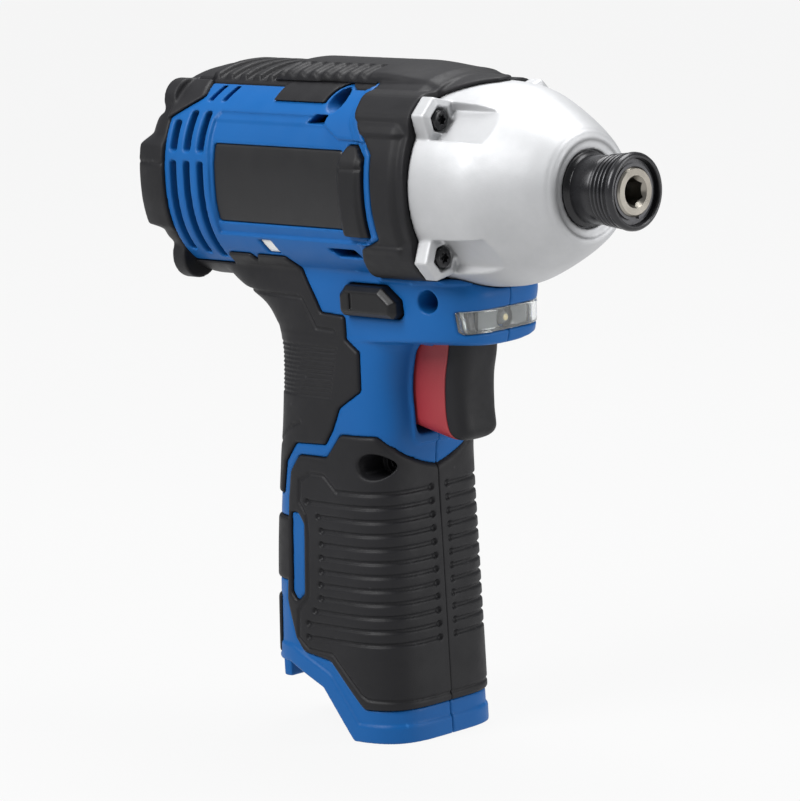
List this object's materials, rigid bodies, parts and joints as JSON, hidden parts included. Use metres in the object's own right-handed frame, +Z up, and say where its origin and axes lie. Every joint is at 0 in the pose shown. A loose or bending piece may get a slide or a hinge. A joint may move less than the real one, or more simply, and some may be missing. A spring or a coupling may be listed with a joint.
{
  "type": "impact driver",
  "caption": "Compact cordless impact driver without its battery: blue housing with black grips, silver gear case, red trigger and a pull-sleeve bit socket.",
  "frame": {"origin": "mouth of the hexagon bit socket, on the drive axis", "axes": "+X forward along the drive axis, +Y to the left of the tool, +Z up"},
  "size_m": [0.1576, 0.06, 0.1801],
  "materials": {
    "blue_plastic": "fine moulded grain",
    "soft_black": "soft overmoulding",
    "black_plastic": "satin",
    "red_plastic": "satin",
    "white_plastic": "moulded",
    "clear_lens": "clear",
    "green_board": "varnished",
    "cast_aluminium": "satin blasted",
    "black_steel": "black oxide",
    "tool_steel": "machined",
    "bright_steel": "bright",
    "bronze": "sintered",
    "copper": "bare",
    "dark_iron": "lacquered"
  },
  "bodies": {
    "body": {"housing_right": "blue_plastic", "housing_left": "blue_plastic", "grip_pad_right": "soft_black", "grip_pad_left": "soft_black", "palm_pad_right": "soft_black", "palm_pad_left": "soft_black", "top_pad": "soft_black", "side_panel_right": "black_plastic", "side_panel_left": "black_plastic", "bumper_right": "black_plastic", "bumper_left": "black_plastic", "rear_cover": "black_plastic", "rear_cover_screws": "black_steel", "front_boot": "soft_black", "gear_case": "cast_aluminium", "gear_case_screws": "black_steel", "nose_bushing": "bronze", "ring_gear": "tool_steel", "gearbox_plate": "tool_steel", "spindle_bearing": "bright_steel", "motor_can": "bright_steel", "motor_magnets": "dark_iron", "motor_end_bell": "white_plastic", "carbon_brushes": "dark_iron", "motor_front_bush": "bronze", "motor_rear_bush": "bronze", "trigger_switch": "black_plastic", "trigger_spring": "bright_steel", "led_lens": "clear_lens", "led": "clear_lens", "led_board": "green_board", "terminal_block": "black_plastic", "battery_terminals": "copper", "housing_screws": "tool_steel"},
    "spindle": {"spindle": "tool_steel", "planet_pins": "tool_steel", "hammer_spring": "bright_steel"},
    "planet_1": {"planet_1": "tool_steel"},
    "planet_2": {"planet_2": "tool_steel"},
    "planet_3": {"planet_3": "tool_steel"},
    "anvil": {"anvil": "tool_steel", "collet_washer": "tool_steel", "collet_ring": "tool_steel", "collet_spring": "bright_steel"},
    "collet": {"collet_sleeve": "black_steel"},
    "detent_right": {"detent_ball_right": "bright_steel"},
    "detent_left": {"detent_ball_left": "bright_steel"},
    "hammer_seat": {"hammer_washer": "tool_steel", "thrust_balls": "bright_steel"},
    "hammer": {"hammer": "tool_steel", "cam_balls": "bright_steel"},
    "rotor": {"drive_pinion": "tool_steel", "rotor_shaft": "tool_steel", "rotor_core": "dark_iron", "commutator": "copper", "cooling_fan": "black_plastic"},
    "trigger": {"trigger": "red_plastic", "trigger_cover": "black_plastic"},
    "selector": {"direction_selector": "black_plastic"}
  },
  "joints": [
    {"name": "spindle_spin", "type": "hinge", "parent": "body", "child": "spindle", "pos_m": [-0.06, 0, 0], "axis": [1, 0, 0], "continuous": true},
    {"name": "rotor_spin", "type": "hinge", "parent": "body", "child": "rotor", "pos_m": [-0.1, 0, 0], "axis": [1, 0, 0], "continuous": true},
    {"name": "anvil_spin", "type": "hinge", "parent": "body", "child": "anvil", "pos_m": [-0.02, 0, 0], "axis": [1, 0, 0], "continuous": true},
    {"name": "planet_1_spin", "type": "hinge", "parent": "spindle", "child": "planet_1", "pos_m": [-0.073, 0, 0.012], "axis": [1, 0, 0], "continuous": true},
    {"name": "planet_2_spin", "type": "hinge", "parent": "spindle", "child": "planet_2", "pos_m": [-0.073, -0.01039, -0.006], "axis": [1, 0, 0], "continuous": true},
    {"name": "planet_3_spin", "type": "hinge", "parent": "spindle", "child": "planet_3", "pos_m": [-0.073, 0.01039, -0.006], "axis": [1, 0, 0], "continuous": true},
    {"name": "hammer_retreat", "type": "slide", "parent": "spindle", "child": "hammer_seat", "axis": [1, 0, 0], "range_m": [-0.0072, 0], "stiffness_N_per_m": 6000, "springref_m": 0.003, "deforming": ["hammer_spring"]},
    {"name": "hammer_turn", "type": "hinge", "parent": "hammer_seat", "child": "hammer", "pos_m": [-0.05, 0, 0], "axis": [1, 0, 0], "range_deg": [-36, 0]},
    {"name": "collet_pull", "type": "slide", "parent": "anvil", "child": "collet", "axis": [1, 0, 0], "range_m": [0, 0.0035], "stiffness_N_per_m": 1500, "springref_m": -0.002, "deforming": ["collet_spring"]},
    {"name": "detent_right_slide", "type": "slide", "parent": "anvil", "child": "detent_right", "axis": [0, -1, 0], "range_m": [0, 0.001]},
    {"name": "detent_left_slide", "type": "slide", "parent": "anvil", "child": "detent_left", "axis": [0, 1, 0], "range_m": [0, 0.001]},
    {"name": "trigger_pull", "type": "slide", "parent": "body", "child": "trigger", "axis": [-1, 0, 0], "range_m": [0, 0.006], "stiffness_N_per_m": 900, "springref_m": -0.003, "deforming": ["trigger_spring"]},
    {"name": "selector_slide", "type": "slide", "parent": "body", "child": "selector", "axis": [0, 1, 0], "range_m": [-0.003, 0.003]}
  ],
  "couplings": [
    {"joint": "rotor_spin", "follows": "spindle_spin", "ratio": 5},
    {"joint": "anvil_spin", "follows": "spindle_spin", "ratio": 1},
    {"joint": "planet_1_spin", "follows": "spindle_spin", "ratio": -2.6667},
    {"joint": "planet_2_spin", "follows": "spindle_spin", "ratio": -2.6667},
    {"joint": "planet_3_spin", "follows": "spindle_spin", "ratio": -2.6667},
    {"joint": "hammer_turn", "follows": "hammer_retreat", "rad_per_m": 87.266},
    {"joint": "detent_right_slide", "follows": "collet_pull", "ratio": 0.28571},
    {"joint": "detent_left_slide", "follows": "collet_pull", "ratio": 0.28571}
  ]
}
